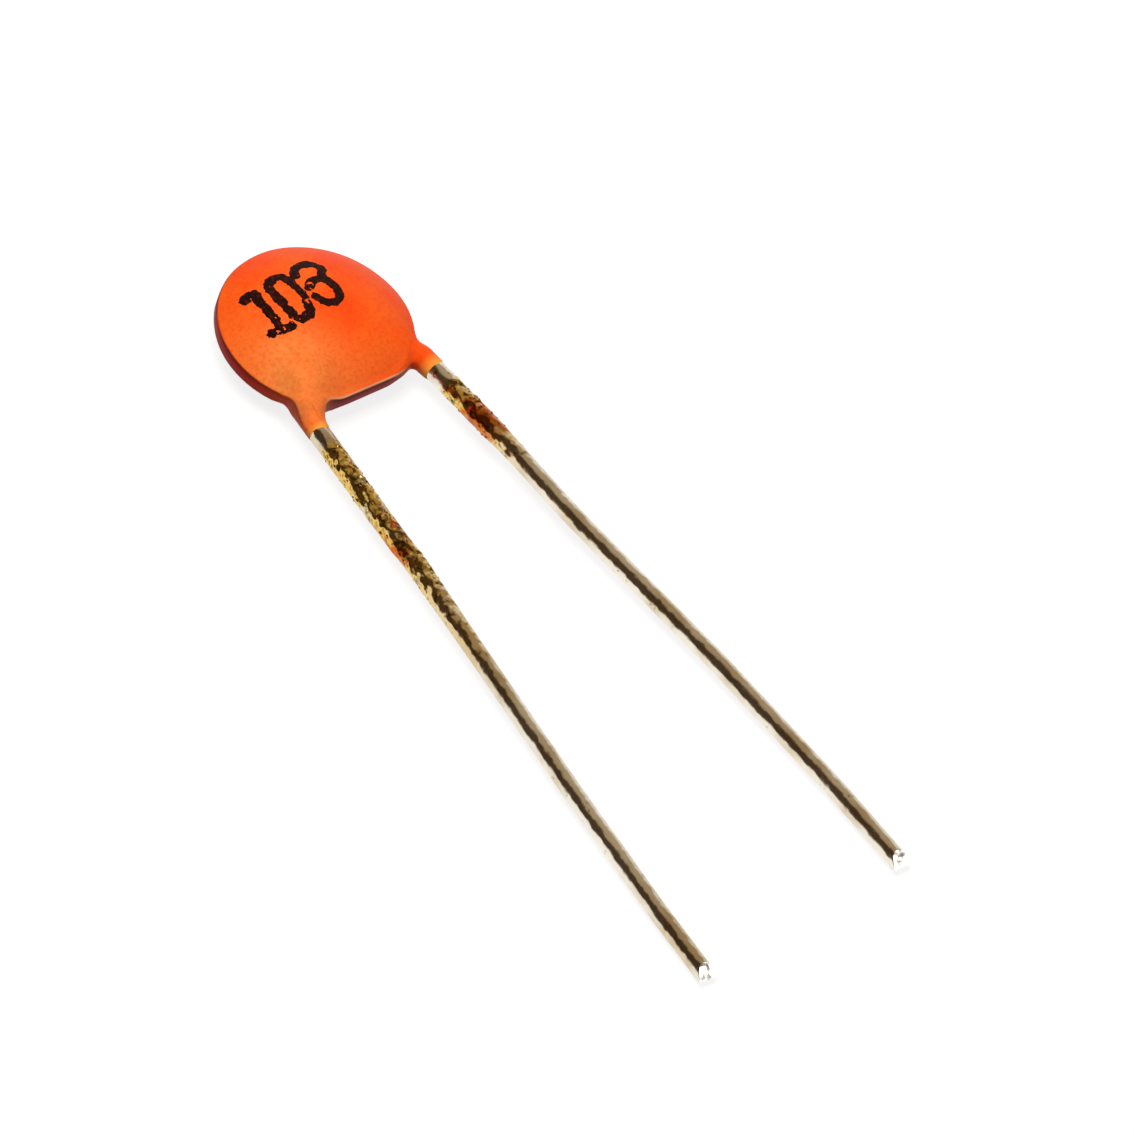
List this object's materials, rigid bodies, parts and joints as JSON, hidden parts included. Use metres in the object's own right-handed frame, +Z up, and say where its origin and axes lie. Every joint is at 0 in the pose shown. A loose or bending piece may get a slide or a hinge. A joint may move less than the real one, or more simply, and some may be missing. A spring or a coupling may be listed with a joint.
{
  "type": "ceramic disc capacitor",
  "caption": "Radial-lead ceramic disc capacitor with an orange dipped coat that runs down its splayed, slightly bent tinned wires, lying on its back.",
  "frame": {"origin": "middle of the footprint's bounding box, on the plane that the part lies on", "axes": "+Y points from the wire tips to the coated disc, +Z points up from the plane that the part lies on, out of the printed face, and +X points to the right-hand wire"},
  "size_m": [0.007, 0.0236, 0.0017],
  "materials": {
    "coat": "orange dipped resin, semi-gloss",
    "ceramic": "fired titanate ceramic, matt",
    "silver": "fired silver paste, matt",
    "solder": "solder, satin",
    "wire": "tinned copper-clad steel wire, dulled and stained"
  },
  "bodies": {
    "root": {"coating": "coat", "ceramic_disc": "ceramic", "front_electrode": "silver", "back_electrode": "silver", "front_solder": "solder", "back_solder": "solder", "lead_left": "wire", "lead_right": "wire"}
  },
  "joints": []
}
